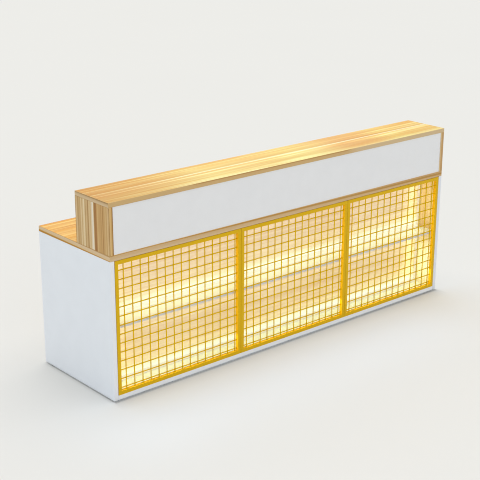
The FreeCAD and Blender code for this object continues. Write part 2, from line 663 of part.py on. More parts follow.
def cupboard():
    """Two hinged doors over a shelf on four supports."""
    frame_leaves = []
    reach = {
        "left": ("cup_left + hinge_gap", "cup_middle - front_gap / 2", "cup_left", "+",
                 "cup_middle - front_gap / 2 - door_handle_inset"),
        "right": ("cup_middle + front_gap / 2", "inner_right - hinge_gap", "inner_right", "-",
                  "cup_middle + front_gap / 2 + door_handle_inset"),
    }
    for side, (low, high, wall, sign, handle_x) in reach.items():
        door = edged(f"{side}_leaf", (low, "front_inner", "fronts_low"), (high, "face", "fronts_high"))
        node(door, f"{side}_door")
        handle = bar_handle(f"{side}_pull", True, handle_x, "fronts_high - door_handle_drop")
        node(handle, f"{side}_door_handle")
        door_leaves = []
        for spot, height in (("low", "fronts_low + hinge_inset"),
                             ("high", "fronts_high - hinge_inset - hinge_length")):
            frame_leaf, door_leaf = hinge(f"{side}_{spot}_hinge", wall, sign, height)
            frame_leaves.append(frame_leaf)
            door_leaves.append(door_leaf)
        node(group(f"{side}_leaf_set", door_leaves), f"{side}_door_hinge_leaves")
    node(group("frame_leaf_set", frame_leaves), "carcass_hinge_leaves")
    shelf = block("cupboard_ledge",
                  ("cup_left + cup_shelf_clear", "back_rear + cup_shelf_clear", "cup_shelf_low"),
                  ("inner_right - cup_shelf_clear", "cup_shelf_rear", "cup_shelf_low + board_thick"))
    node(shelf, "cupboard_shelf")
    supports = [block("shelf_support", (x, y, "cup_shelf_low - support_thick"),
                      (f"{x} + support_length", f"{y} + support_length", "cup_shelf_low"))
                for x in ("cup_left", "inner_right - support_length")
                for y in ("back_rear + support_inset", "cup_shelf_rear - support_inset - support_length")]
    node(group("support_set", supports), "shelf_supports")


def build():
    """Make every piece of the desk."""
    fill_sheet()
    for name, text in DERIVED:
        derive(name, text)
    doc.recompute()
    ends_and_floor()
    worktop()
    grommet()
    hutch()
    display()
    for name, (pitch, shift) in PANELS.items():
        mesh_panel(name, pitch, shift)
    lights()
    power_supply()
    carcass()
    drawers()
    cupboard()
    doc.recompute()


def write():
    """Check every piece and write each to a file of its own."""
    for thing in doc.Objects:
        if "Invalid" in thing.State or "Error" in thing.State:
            raise RuntimeError(f"{thing.Label} did not build: {thing.State}")
    for piece in nodes:
        if piece.Shape.isNull() or not piece.Shape.isValid() or not piece.Shape.Solids:
            raise RuntimeError(f"{piece.Label} has no valid solid")
    os.makedirs("parts", exist_ok=True)
    for piece in nodes:
        piece.Shape.exportStep(f"parts/{piece.Label}.step")
    print(len(nodes), "nodes,", sum(len(piece.Shape.Solids) for piece in nodes), "solids")


build()
write()
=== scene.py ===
import math
from collections import namedtuple
import bmesh
import bpy
from mathutils import Matrix, Vector


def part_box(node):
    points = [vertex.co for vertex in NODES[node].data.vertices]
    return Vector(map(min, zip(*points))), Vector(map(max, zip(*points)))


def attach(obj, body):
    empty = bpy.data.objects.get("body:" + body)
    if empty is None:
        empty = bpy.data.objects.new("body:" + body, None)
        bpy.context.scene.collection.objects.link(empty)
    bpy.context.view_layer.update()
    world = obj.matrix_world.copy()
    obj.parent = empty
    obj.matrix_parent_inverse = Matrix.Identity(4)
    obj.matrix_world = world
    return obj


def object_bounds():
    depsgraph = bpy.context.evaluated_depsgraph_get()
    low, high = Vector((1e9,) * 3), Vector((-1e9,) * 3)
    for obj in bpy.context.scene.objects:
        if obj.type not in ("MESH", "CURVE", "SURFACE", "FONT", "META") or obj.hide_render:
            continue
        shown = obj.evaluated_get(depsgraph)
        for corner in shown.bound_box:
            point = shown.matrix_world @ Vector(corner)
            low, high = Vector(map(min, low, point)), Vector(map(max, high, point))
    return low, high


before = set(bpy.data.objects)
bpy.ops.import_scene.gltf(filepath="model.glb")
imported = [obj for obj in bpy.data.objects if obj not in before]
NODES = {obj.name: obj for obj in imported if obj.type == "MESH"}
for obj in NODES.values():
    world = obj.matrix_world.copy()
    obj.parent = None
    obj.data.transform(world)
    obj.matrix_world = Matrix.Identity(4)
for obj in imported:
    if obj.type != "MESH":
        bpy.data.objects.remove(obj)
CAD_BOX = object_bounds()
PANELS = ("left", "middle", "right")
DRAWERS = ("upper", "middle", "lower")
GRAIN_STOPS = (0.38, 0.45, 0.51, 0.57, 0.64)


def lowest(node, letter):
    """A node's lowest place along an axis."""
    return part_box(node)[0]["XYZ".index(letter)]


def highest(node, letter):
    """A node's highest place along an axis."""
    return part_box(node)[1]["XYZ".index(letter)]


def tone(red, green, blue):
    """A display colour as a linear one with full alpha, by the sRGB curve."""
    return tuple(((c / 255 + 0.055) / 1.055) ** 2.4 if c > 10 else c / 255 / 12.92
                 for c in (red, green, blue)) + (1.0,)


def tones(*colours):
    """Ramp stops for the grain, from its darkest lines to its palest."""
    return tuple(zip(GRAIN_STOPS, (tone(*colour) for colour in colours)))


def layers(*stops):
    """Ramp stops from places and display colours."""
    return tuple((place, tone(*colour)) for place, *colour in stops)


def gains(*stops):
    """Ramp stops from places and factors that multiply a colour."""
    return tuple((place, (*factors, 1.0)) for place, *factors in stops)


# Camera, fitted to the desk's corners in the photograph: degrees, metres and pixels.
YAW, PITCH, ROLL = 40.953, 18.397, -0.203
EYE = (-4.2686, -4.7766, 2.6462)
FOCAL_LENGTH = 1168.82
IMAGE_SIDE = 480
SENSOR_WIDTH = 36.0
FARTHEST = 200
PIXEL_FILTER = 1.1

# Places on the desk, in metres, and the slack in telling a board's face by its place.
INNER_X = lowest("right_end_panel", "X")
BACK_FRONT = lowest("display_back", "Y")
BACK_REAR = highest("display_back", "Y")
SHELF_Z = highest("display_shelf", "Z")
HUTCH_FRONT = lowest("hutch_top", "Y")
HUTCH_REAR = highest("hutch_top", "Y")
FACE_SLACK = 0.0003

# Shelf pin holes in the cupboard's walls, painted as dark dots: painted shade where the holes are.
PIN_HOLE_SHADE = tone(70, 66, 60)
PIN_RADIUS = 0.0026
PIN_PITCH = 0.032
PIN_REACH = 5.4 * PIN_PITCH
PIN_RISE = 0.002
PIN_INSET = 0.0045
PIN_Z = lowest("shelf_supports", "Z") + PIN_RISE
PIN_Y = (lowest("shelf_supports", "Y") + PIN_INSET, highest("shelf_supports", "Y") - PIN_INSET)

# Power supply's case: seams of its end covers, vents and screws. Seams and vents are painted
# dark: the seams as dark joints, the vents as painted shade in their slits.
CASE_HALF = 0.017
CASE_MIDDLE = highest("led_driver", "Z") - CASE_HALF
CASE_SEAM = 0.105
SEAM_HALF = 0.0005
VENT_PITCH = 0.008
VENT_HALF = 0.001
VENT_RISE = 0.009
VENT_ROW = 0.05
CASE_SCREW_X = 0.115
CASE_SCREW_UP = 0.01
SEAM_AND_VENT_SHADE = tone(96, 96, 98)

# Other small fittings: places, the shares of a screw head's radius that its cross and the cross's
# middle take, and profiles of radius and rise.
CAP_Y = (-0.09, 0.07, 0.23)
LEAD_X = 0.165
LEAD_DROP = 0.008
LEAD_HOLES = ((LEAD_X, lowest("worktop", "Z") - LEAD_DROP),
              (-LEAD_X, lowest("display_shelf", "Z") - LEAD_DROP))
HINGE_HALF = 0.03
HINGE_PITCH = 0.02
LEAF_HALF = 0.01
FRAME_LEAF = 0.001
DOOR_LEAF = 0.0015
SCREW_RECESS = 0.0002
PAN_RECESS = 0.0015
CROSS_REACH = 0.6
CROSS_CORE = 0.2
BEAD_SIDES = 10
SHARP_ANGLE = math.radians(40)
SAME_POINT = 1e-6
SCREW_HEAD = ((0.0032, 0.0), (0.0031, 0.00012), (0.0024, 0.00022), (0.0017, 0.00024),
              (0.001, 0.00024), (0.0003, 0.0002))
PAN_HEAD = ((0.0046, 0.0), (0.0046, 0.0012), (0.0041, 0.002), (0.003, 0.0025),
            (0.0017, 0.0027), (0.0005, 0.0026))
COVER_CAP = ((0.0075, 0.0), (0.0074, 0.0007), (0.0068, 0.0012), (0.0045, 0.0014),
             (0.001, 0.00145))
WELD_BEAD = ((0.0049, 0.0), (0.0046, 0.0009), (0.0038, 0.0019), (0.0032, 0.003),
             (0.003, 0.0042))
BUSHING = ((0.0024, -0.004), (0.0024, 0.0), (0.0048, 0.0), (0.0046, 0.0012),
           (0.0035, 0.0016), (0.0024, 0.0013), (0.0018, 0.0006), (0.0018, -0.004))

# Boards, and the timber that lines the recess. The boards' front edge tones are painted light
# and shade: paler on the left end and the display floor, darker on the right end and the shelf.
BOARD_IOR = 1.48
BOARD_ROUGH = 0.4
WHITE = tone(238, 243, 249)
WHITE_SHADE = tone(236, 241, 247)
LEFT_EDGE_LIGHT = tone(240, 241, 243)
RIGHT_EDGE_SHADE = tone(229, 233, 240)
FLOOR_EDGE_LIGHT = tone(249, 250, 252)
SHELF_EDGE_SHADE = tone(228, 229, 232)
ORANGE_PEEL = {"depth": 0.0001, "strength": 0.12}
LINING = tone(234, 202, 150)
LINING_SHADE = tone(218, 176, 116)
PALE_TIMBER = layers((0.3, 228, 204, 172), (0.5, 238, 220, 192), (0.7, 244, 230, 206))

# Plastic, its spark-eroded skin, and powder coat.
PLASTIC_IOR = 1.47
ERODED = {"depth": 0.00008, "strength": 0.3}
COAT_IOR = 1.5
COAT_ROUGH = (0.43, 0.07)
PEBBLED = {"depth": 0.00015, "strength": 0.3}

# Striped timber: tones of the grain, layers of the edges from their foot up, and, as factors,
# how the tone changes in patches, along the raised top and across it. Along the top the factors
# are a painted sheen: lighter where a highlight falls, darker between.
WOOD_IOR = 1.5
WOOD_ROUGH = (0.42, 0.06)
WOOD_PORES = {"depth": 0.0002, "strength": 0.25}
WOOD_SHINE = 0.22
WORK_SHINE = 0.1
WORK_TONES = tones((211, 144, 65), (231, 173, 90), (238, 187, 102), (244, 198, 113),
                   (251, 219, 143))
WORK_FRONT = layers((0.0, 218, 190, 148), (0.2, 214, 182, 138), (0.58, 211, 178, 130),
                    (0.70, 190, 145, 80), (0.93, 188, 142, 76), (1.0, 200, 164, 112))
WORK_END = layers((0.0, 186, 132, 40), (0.24, 192, 140, 56), (0.34, 222, 192, 146),
                  (0.86, 222, 196, 158), (1.0, 192, 156, 108))
TOP_TONES = tones((212, 158, 82), (224, 175, 96), (231, 188, 109), (238, 202, 124),
                  (247, 224, 158))
TOP_FRONT = layers((0.0, 198, 163, 110), (0.2, 209, 175, 122), (0.77, 210, 174, 118),
                   (0.85, 192, 145, 84), (1.0, 190, 143, 82))
TOP_END = layers((0.0, 190, 158, 108), (0.3, 216, 190, 150), (0.7, 204, 176, 134),
                 (1.0, 162, 126, 74))
TOP_SHEEN_RUN = gains((0.1, 0.82, 0.69, 0.55), (0.24, 0.91, 0.83, 0.68), (0.38, 1.02, 1.12, 1.0),
                (0.52, 1.02, 1.06, 0.90), (0.65, 1.02, 1.20, 1.05), (0.80, 0.91, 0.74, 0.48),
                (0.88, 0.94, 0.80, 0.54), (0.97, 1.03, 1.14, 0.90), (1.0, 1.02, 1.02, 0.82))
TOP_DEEP = gains((0.08, 1.0, 1.14, 1.32), (0.25, 1.0, 1.08, 1.06), (0.42, 0.98, 0.90, 0.80),
                 (0.58, 1.0, 1.06, 1.05), (0.75, 0.98, 0.92, 0.80), (0.92, 1.0, 0.94, 0.76))
PATCHES = gains((0.41, 0.96, 0.84, 0.61), (0.5, 1.0, 1.0, 1.0), (0.59, 1.03, 1.10, 1.25))

# Raised top: a painted highlight, a pale streak along it (middle, half its width, half its core's
# width, colour) that grows from the left end, and the dark line on its front edge (where it begins
# and ends, and the paler tone beyond).
HIGHLIGHT_STREAK = (HUTCH_REAR - 0.135, 0.006, 0.0024, tone(255, 244, 204))
HIGHLIGHT_FULL = -0.3 * INNER_X
HIGHLIGHT_FADE = (0.15, 0.9)
DARK_RUN = (-0.75, 0.44, tone(213, 186, 143))

# Raised shelf's ends: their tone from front to back, a near-white stripe as shares of the depth,
# the front edges' factors and the dark line at the left one's two corners.
END_TONES = tones((180, 136, 82), (212, 178, 122), (230, 202, 152), (238, 214, 168),
                  (248, 232, 194))
END_DEEP = gains((0.0, 1.0, 1.0, 1.0), (0.045, 0.95, 0.93, 0.90), (0.07, 0.72, 0.58, 0.39),
                 (0.40, 0.78, 0.63, 0.43), (0.435, 0.70, 0.54, 0.34), (0.45, 0.87, 0.83, 0.77))
STRIPE = tone(240, 233, 216)
STRIPE_BEGINS, STRIPE_ENDS, STRIPE_SOFT = 0.45, 0.54, 0.005
STRIPE_SHARE = 0.9
LEFT_END_GAIN = (0.88, 0.76, 0.57, 1.0)
RIGHT_END_GAIN = (0.83, 0.72, 0.6, 1.0)
END_LINE = tone(146, 98, 44)
END_LINE_WIDTH = 0.005
END_LINE_CORE = 0.003

# Light bars: chips of their tape and glow of their covers.
LEDS_PER_METRE = 60
CHIP_SHARE = 0.25
RIPPLE = 0.07
BAR_WIDTH = 0.02
BAR_COLOUR = (1.0, 0.94, 0.68, 1.0)
LOWER_GLOW = 0.43
UPPER_GLOW = 0.64
UPRIGHT_GLOW = (0.38, 0.38, 0.38, 1.0)

# Hidden lights along the recess, which add what the bars give it. Rises are over the board below,
# reaches from the recess's back or end, powers in watts. RECESS says where the upper ones differ.
Strip = namedtuple("Strip", "name rise reach tall power tint")
BAND = Strip("band", rise=0.022, reach=0.04, tall=0.03, power=0.42, tint=(0.4, 0.85, 0.62))
CORE = Strip("core", rise=0.022, reach=0.025, tall=0.015, power=0.17, tint=(0.1, 0.2, 1.0))
FRINGE = Strip("fringe", rise=0.07, reach=0.06, tall=0.03, power=0.1, tint=(1.0, 0.85, 0.15))
CEILING = Strip("ceiling", rise=0.32, reach=0.06, tall=0.03, power=0.42, tint=(0.8, 0.9, 0.9))
FILL = Strip("fill", rise=0.17, reach=0.11, tall=0.32, power=0.74, tint=(1.0, 0.87, 0.45))
SHELF = Strip("shelf_light", rise=0.09, reach=0.065, tall=0.06, power=0.54, tint=(1.0, 1.0, 0.2))
COLUMN = Strip("column", rise=0.17, reach=0.06, tall=0.32, power=0.08, tint=(0.9, 0.95, 0.45))
END = Strip("end_light", rise=0.14, reach=0.1, tall=0.27, power=0.41, tint=(0.47, 0.8, 0.9))
COLUMN_WIDE = 0.03
END_WIDE = 0.1
END_BEFORE = 0.06
RECESS = {
    "lower": ("display_floor", (BAND, CORE, FRINGE, CEILING, FILL), SHELF, END),
    "upper": ("display_shelf", (BAND, CORE, FRINGE, CEILING._replace(power=0.4),
                                FILL._replace(power=0.8, tint=(0.95, 1.0, 0.86))),
              SHELF._replace(power=0.64, tint=(1.0, 1.0, 0.4)),
              END._replace(rise=0.19, tall=0.3, power=0.115, tint=(0.7, 0.97, 0.82))),
}

# Hidden lights on the mesh frames' inner faces.
TUBE = highest("mesh_frame_left", "Y") - lowest("mesh_frame_left", "Y")
FRAME_MARGIN = 2 * TUBE
FLANK_REACH = 0.1
FLANK_POWER = 0.24
FOOT_POWER = 0.7
FRAME_TINT = (0.88, 0.7, 0.22)

# Studio. The floor's shade falls off over a reach, squeezed beside the ends.
FLOOR_REACH = 60.0
FLOOR_TONE = (0.745, 0.735, 0.705, 1.0)
FLOOR_PALE = tuple(c * 1.004 for c in FLOOR_TONE[:3]) + (1.0,)
SHADE_REACH = 0.12
SHADE_SQUEEZE = 4.0
SHADE_FADE = 0.04
SHADE = gains(*[(place, grey, grey, grey) for place, grey in (
    (0.0, 0.42), (0.1, 0.62), (0.17, 0.83), (0.3, 0.9), (0.48, 0.94), (0.68, 0.97), (0.86, 0.99),
    (1.0, 1.0))])
WORLD_COLOUR = (0.94, 0.97, 1.0, 1.0)
WORLD_STRENGTH = 0.78
SUN_COLOUR = (1.0, 0.97, 0.92)
SUN_STRENGTH = 1.35
SUN_SPREAD = math.radians(80)
SUN_TILT = (math.radians(-12), math.radians(15), 0)

# Nodes: the mix node's two inputs and its output by the kind of data, the range that noise hardly
# leaves, and the least lean of a surface that counts as facing along an axis.
MIX_SOCKETS = {"VECTOR": (4, 5, 1), "RGBA": (6, 7, 2)}
NOISE_RANGE = (0.3, 0.7)
FACING = 0.72


class Paint:
    """A node material under construction, in the part's own coordinates."""

    def __init__(self, name, **sockets):
        self.material = bpy.data.materials.new(name)
        self.material.use_nodes = True
        self.tree = self.material.node_tree
        self.shader = self.tree.nodes["Principled BSDF"]
        inside = self.add("ShaderNodeTexCoord").outputs
        self.part = self.place = inside["Object"]
        self.facing = inside["Normal"]
        for key, value in sockets.items():
            self.shader.inputs[key.replace("_", " ")].default_value = value

    def add(self, kind, inputs=(), **settings):
        """A node with its settings made and its inputs fed."""
        node = self.tree.nodes.new(kind)
        for key, value in settings.items():
            setattr(node, key, value)
        for key, value in dict(inputs).items():
            self.feed(node.inputs[key], value)
        return node

    def feed(self, socket, value):
        """Link a socket to another one, or set its value."""
        if isinstance(value, bpy.types.NodeSocket):
            self.tree.links.new(value, socket)
        else:
            socket.default_value = value

    def noise(self, stretch, detail=2.0, rough=0.5, seed=0.0):
        """Noise whose cells per metre are given along X, Y and Z."""
        moved = self.add("ShaderNodeMapping", {
            "Vector": self.place, "Location": (seed, seed * 0.7, seed * 1.3), "Scale": stretch})
        return self.add("ShaderNodeTexNoise", {
            "Vector": moved.outputs["Vector"], "Scale": 1.0, "Detail": detail,
            "Roughness": rough}).outputs["Fac"]

    def cells(self, stretch):
        """Irregular cells, one random value each."""
        moved = self.add("ShaderNodeMapping", {"Vector": self.place, "Scale": stretch})
        return self.add("ShaderNodeTexVoronoi", {
            "Vector": moved.outputs["Vector"], "Scale": 1.0}).outputs["Color"]

    def axis(self, letter):
        """One coordinate of the part."""
        return self.add("ShaderNodeSeparateXYZ", {"Vector": self.part}).outputs[letter]

    def off(self, letter, place=0.0):
        """How far from a place along an axis, either way."""
        return self.calc("ABSOLUTE", self.minus(self.axis(letter), place))

    def level(self, letter, low, high):
        """A coordinate as a share of the way between two places."""
        return self.scaled(self.axis(letter), 1 / (high - low), -low / (high - low))

    def faces(self, letter):
        """One where the surface faces along an axis, either way, and nought elsewhere."""
        lean = self.add("ShaderNodeSeparateXYZ", {"Vector": self.facing}).outputs[letter]
        return self.above(self.calc("ABSOLUTE", lean), FACING)

    def turn_ends(self):
        """Let the grain of the two end faces run along Y, as edge banding does."""
        x, y, z = (self.axis(letter) for letter in "XYZ")
        turned = self.add("ShaderNodeCombineXYZ", {"X": y, "Y": x, "Z": z}).outputs["Vector"]
        self.place = self.mix(self.faces("X"), self.part, turned, kind="VECTOR")

    def calc(self, operation, first, second=0.0, third=0.0):
        """One step of arithmetic on values or sockets."""
        node = self.add("ShaderNodeMath", operation=operation)
        for socket, value in zip(node.inputs, (first, second, third)):
            self.feed(socket, value)
        return node.outputs["Value"]

    def times(self, first, second):
        return self.calc("MULTIPLY", first, second)

    def minus(self, first, second):
        return self.calc("SUBTRACT", first, second)

    def scaled(self, value, factor, offset):
        return self.calc("MULTIPLY_ADD", value, factor, offset)

    def above(self, value, limit):
        return self.calc("GREATER_THAN", value, limit)

    def below(self, value, limit):
        return self.calc("LESS_THAN", value, limit)

    def larger(self, first, second):
        return self.calc("MAXIMUM", first, second)

    def smaller(self, first, second):
        return self.calc("MINIMUM", first, second)

    def across(self, first, second):
        """Straight distance over two sides of a right angle."""
        return self.calc("SQRT", self.scaled(first, first, self.times(second, second)))

    def span(self, value, low, high, to_low=0.0, to_high=1.0):
        """A value carried smoothly from one range to another."""
        return self.add("ShaderNodeMapRange", {
            "Value": value, "From Min": low, "From Max": high, "To Min": to_low,
            "To Max": to_high}, interpolation_type="SMOOTHSTEP").outputs["Result"]

    def vary(self, noise, middle, spread):
        """A roughness that follows a noise, so much either way."""
        return self.span(noise, *NOISE_RANGE, middle - spread, middle + spread)

    def ramp(self, fac, *stops):
        """Colours at places along a value."""
        node = self.add("ShaderNodeValToRGB", {"Fac": fac})
        points = node.color_ramp.elements
        while len(points) < len(stops):
            points.new(0.5)
        for point, (position, colour) in zip(points, stops):
            point.position = position
            point.color = colour
        return node.outputs["Color"]

    def mottled(self, noise, shade, colour, low=0.35, high=0.65):
        """Two tones that follow a noise."""
        return self.ramp(noise, (low, shade), (high, colour))

    def mix(self, fac, first, second, blend="MIX", kind="RGBA"):
        """Two colours or vectors, mixed by a value."""
        node = self.add("ShaderNodeMix", {"Factor": fac}, data_type=kind, blend_type=blend)
        first_input, second_input, result = MIX_SOCKETS[kind]
        self.feed(node.inputs[first_input], first)
        self.feed(node.inputs[second_input], second)
        return node.outputs[result]

    def tinted(self, colour, factors):
        """A colour multiplied by factors."""
        return self.mix(1.0, colour, factors, "MULTIPLY")

    def finish(self, colour, rough=None, height=None, depth=0.0002, strength=0.5):
        """The material, with its colour and perhaps its roughness and bumps."""
        self.feed(self.shader.inputs["Base Color"], colour)
        if rough is not None:
            self.feed(self.shader.inputs["Roughness"], rough)
        if height is not None:
            bump = self.add("ShaderNodeBump", {
                "Height": height, "Distance": depth, "Strength": strength})
            self.feed(self.shader.inputs["Normal"], bump.outputs["Normal"])
        return self.material


def along(axis, lengthwise, across):
    """Noise stretch for grain that runs along one axis."""
    return tuple(lengthwise if letter == axis else across for letter in "XYZ")


def even(cells):
    """Noise stretch with the same number of cells a metre every way."""
    return (cells, cells, cells)


def grain(paint, axis, seed, stripes):
    """Bands, so many a metre, lines and fibres along an axis: as one value, and the last two."""
    line_share, fibre_share = 0.55, 0.14
    bands = paint.noise(along(axis, 0.12, stripes), 1.0, 0.5, seed)
    lines = paint.noise(along(axis, 0.3, 95.0), 3.0, 0.6, seed + 3.1)
    fibres = paint.noise(along(axis, 5.0, 620.0), 2.0, 0.6, seed + 7.7)
    blend = paint.scaled(bands, 1 - line_share, paint.times(lines, line_share))
    return paint.scaled(fibres, fibre_share, paint.minus(blend, fibre_share / 2)), lines, fibres


def banding(paint, height, lines, stops, dark_run):
    """Layered front edge. Its dark top line drifts in from one end, or runs between two places."""
    wander, drift, run_share, slow, quick = 0.5, 0.22, 0.35, 0.1, 0.06
    layer = paint.calc("ADD", height, paint.scaled(lines, wander, -wander / 2))
    x = paint.axis("X")
    if dark_run is None:
        return paint.ramp(paint.scaled(x, drift, layer), *stops)
    begins, ends, pale = dark_run
    beyond = paint.span(x, ends - quick, ends + quick)
    inside = paint.minus(paint.span(x, begins - slow, begins + slow), beyond)
    front = paint.scaled(layer, 1 - run_share, paint.times(inside, run_share))
    return paint.mix(beyond, paint.ramp(front, *stops), pale)


def striped_slab(name, node, colours, front_edge, end_edge, seed, shine, highlight_streak=None,
                 lengthwise=None, depthwise=None, dark_run=None):
    """Striped laminate on a long slab, with its edge banding in layers, and perhaps a painted sheen
    and highlight along it.
    """
    waver, slope, sway = 0.15, -0.4, 0.2
    paint = Paint(name, IOR=WOOD_IOR, Specular_IOR_Level=shine)
    paint.turn_ends()
    blend, lines, fibres = grain(paint, "X", seed, stripes=14.0)
    patches = paint.noise(along("X", 1.3, 26.0), 2.0, 0.6, seed + 11.0)
    colour = paint.tinted(paint.ramp(blend, *colours), paint.ramp(patches, *PATCHES))
    # Painted sheen: the top made lighter and darker along its length where a highlight falls.
    if lengthwise is not None:
        sheen_place = paint.scaled(lines, sway, paint.level("X", -INNER_X, INNER_X))
        colour = paint.tinted(colour, paint.ramp(sheen_place, *lengthwise))
    if depthwise is not None:
        deep = paint.level("Y", HUTCH_FRONT, HUTCH_REAR)
        colour = paint.tinted(colour, paint.ramp(deep, *depthwise))
    # Painted highlight: a pale streak along the top where a light's reflection falls.
    if highlight_streak is not None:
        middle, half, core, light = highlight_streak
        near = paint.span(paint.off("Y", middle), half, core)
        fade = paint.span(paint.axis("X"), -INNER_X, HIGHLIGHT_FULL, *HIGHLIGHT_FADE)
        colour = paint.mix(paint.times(near, fade), colour, light)
    height = paint.level("Z", lowest(node, "Z"), highest(node, "Z"))
    front = banding(paint, height, lines, front_edge, dark_run)
    taper = paint.scaled(paint.axis("Y"), slope, height)
    end = paint.calc("ADD", paint.scaled(lines, waver, -waver / 2), taper)
    edge = paint.mix(paint.faces("X"), front, paint.ramp(end, *end_edge))
    colour = paint.mix(paint.faces("Z"), edge, colour)
    return paint.finish(colour, paint.vary(fibres, *WOOD_ROUGH), fibres, **WOOD_PORES)


def striped_end(name, node, seed, edge_gain, lined):
    """Striped laminate on an upright end: pale behind, a near-white stripe, tan in front."""
    paint = Paint(name, IOR=WOOD_IOR, Specular_IOR_Level=WOOD_SHINE)
    blend, lines, fibres = grain(paint, "Z", seed, stripes=70.0)
    back = paint.level("Y", HUTCH_FRONT, HUTCH_REAR)
    sway = 0.02
    deep = paint.ramp(paint.scaled(lines, sway, back), *END_DEEP)
    colour = paint.tinted(paint.ramp(blend, *END_TONES), deep)
    begins = paint.span(back, STRIPE_BEGINS - STRIPE_SOFT, STRIPE_BEGINS + STRIPE_SOFT)
    ends = paint.span(back, STRIPE_ENDS, STRIPE_BEGINS, 0.0, STRIPE_SHARE)
    colour = paint.mix(paint.times(begins, ends), colour, STRIPE)
    colour = paint.mix(paint.faces("Y"), colour, paint.tinted(colour, edge_gain))
    if lined:
        corner, thick = lowest(node, "X"), highest(node, "X") - lowest(node, "X")
        off = paint.calc("PINGPONG", paint.minus(paint.axis("X"), corner), thick / 2)
        near = paint.span(off, END_LINE_WIDTH, END_LINE_CORE)
        colour = paint.mix(paint.times(paint.faces("Y"), near), colour, END_LINE)
    return paint.finish(colour, paint.vary(fibres, *WOOD_ROUGH), fibres, **WOOD_PORES)


def melamine(paint, colour, shade):
    """Melamine facing: its colour, the faint mottle in it and a fine orange peel."""
    mottle = paint.noise(even(9.0), 3.0, 0.6)
    peel = paint.noise(even(900.0))
    return paint.mottled(mottle, shade, colour), mottle, peel


def laminate(name, colour=WHITE, shade=WHITE_SHADE, roughness=BOARD_ROUGH, edge=None):
    """Melamine faced board, perhaps with a tone of painted light and shade on its front edge."""
    paint = Paint(name, IOR=BOARD_IOR)
    board, mottle, peel = melamine(paint, colour, shade)
    if edge is not None:
        board = paint.mix(paint.faces("Y"), board, edge)
    return paint.finish(board, paint.vary(mottle, roughness, 0.05), peel, **ORANGE_PEEL)


def lined_board(name, edge):
    """White end board: pale timber on its face inside the recess, pin holes in the cupboard, and a
    tone of painted light and shade on its front edge.
    """
    paint = Paint(name, IOR=BOARD_IOR, Roughness=BOARD_ROUGH)
    white, _, peel = melamine(paint, WHITE, WHITE_SHADE)
    white = paint.mix(paint.faces("Y"), white, edge)
    streaks = paint.noise(along("Z", 1.2, 60.0), 3.0, 0.6)
    wood = paint.mottled(streaks, LINING_SHADE, LINING)
    inner = paint.below(paint.off("X"), INNER_X + FACE_SLACK)
    in_recess = paint.times(inner, paint.below(paint.axis("Y"), BACK_REAR))
    board = paint.mix(in_recess, white, wood)
    # Painted shade: dark dots where the pin holes are.
    drilled = paint.times(inner, pin_holes(paint))
    return paint.finish(paint.mix(drilled, board, PIN_HOLE_SHADE), None, peel, **ORANGE_PEEL)


def drilled_board(name, wall):
    """White board with rows of shelf pin holes in its face at one place along X."""
    paint = Paint(name, IOR=BOARD_IOR, Roughness=BOARD_ROUGH)
    white, _, peel = melamine(paint, WHITE, WHITE_SHADE)
    inner = paint.above(paint.axis("X"), wall - FACE_SLACK)
    # Painted shade: dark dots where the pin holes are.
    drilled = paint.times(inner, pin_holes(paint))
    return paint.finish(paint.mix(drilled, white, PIN_HOLE_SHADE), None, peel, **ORANGE_PEEL)


def pin_holes(paint):
    """One inside the two rows of shelf pin holes, right of the desk's middle, else nought."""
    half = PIN_PITCH / 2
    between = paint.calc("PINGPONG", paint.minus(paint.axis("Z"), PIN_Z + half), half)
    beside = paint.smaller(*[paint.off("Y", y) for y in PIN_Y])
    hole = paint.below(paint.across(paint.minus(half, between), beside), PIN_RADIUS)
    in_row = paint.below(paint.off("Z", PIN_Z), PIN_REACH)
    wall = paint.times(paint.faces("X"), paint.above(paint.axis("X"), 0.0))
    return paint.times(wall, paint.times(in_row, hole))


def pale_timber(name):
    """Pale timber laminate of the display's back, its grain lengthwise."""
    paint = Paint(name, IOR=BOARD_IOR, Roughness=0.5)
    figure = paint.noise(along("X", 1.0, 70.0), 4.0, 0.6)
    fibres = paint.noise(along("X", 8.0, 700.0))
    return paint.finish(paint.ramp(figure, *PALE_TIMBER), None, fibres, depth=0.0001, strength=0.2)


def powder_coat(name, colour, shade, shine):
    """Powder coat: a fine pebbled skin with a slight mottle."""
    paint = Paint(name, IOR=COAT_IOR, Specular_IOR_Level=shine)
    pebble = paint.noise(even(1500.0))
    mottle = paint.noise(even(160.0), 3.0, 0.7)
    return paint.finish(paint.mottled(mottle, shade, colour), paint.vary(pebble, *COAT_ROUGH),
                        pebble, **PEBBLED)


def opal(name):
    """Opal cover lit from behind, a little brighter over each light of the tape."""
    paint = Paint(name, Roughness=0.45, Emission_Color=BAR_COLOUR)
    waves = [paint.calc("SINE", paint.times(paint.axis(letter), 2 * math.pi * LEDS_PER_METRE))
             for letter in "XZ"]
    ripple = paint.span(paint.calc("ADD", *waves), -2.0, 2.0, 1 - RIPPLE, 1 + RIPPLE)
    upper = paint.above(paint.axis("Z"), SHELF_Z)
    lengthwise = paint.scaled(upper, UPPER_GLOW - LOWER_GLOW, LOWER_GLOW)
    upright = paint.above(paint.off("X"), INNER_X - BAR_WIDTH)
    glow = paint.mix(upright, lengthwise, UPRIGHT_GLOW)
    paint.feed(paint.shader.inputs["Emission Strength"], paint.times(glow, ripple))
    haze = paint.noise(even(40.0))
    return paint.finish(paint.mottled(haze, tone(206, 200, 184), tone(214, 208, 192), *NOISE_RANGE))


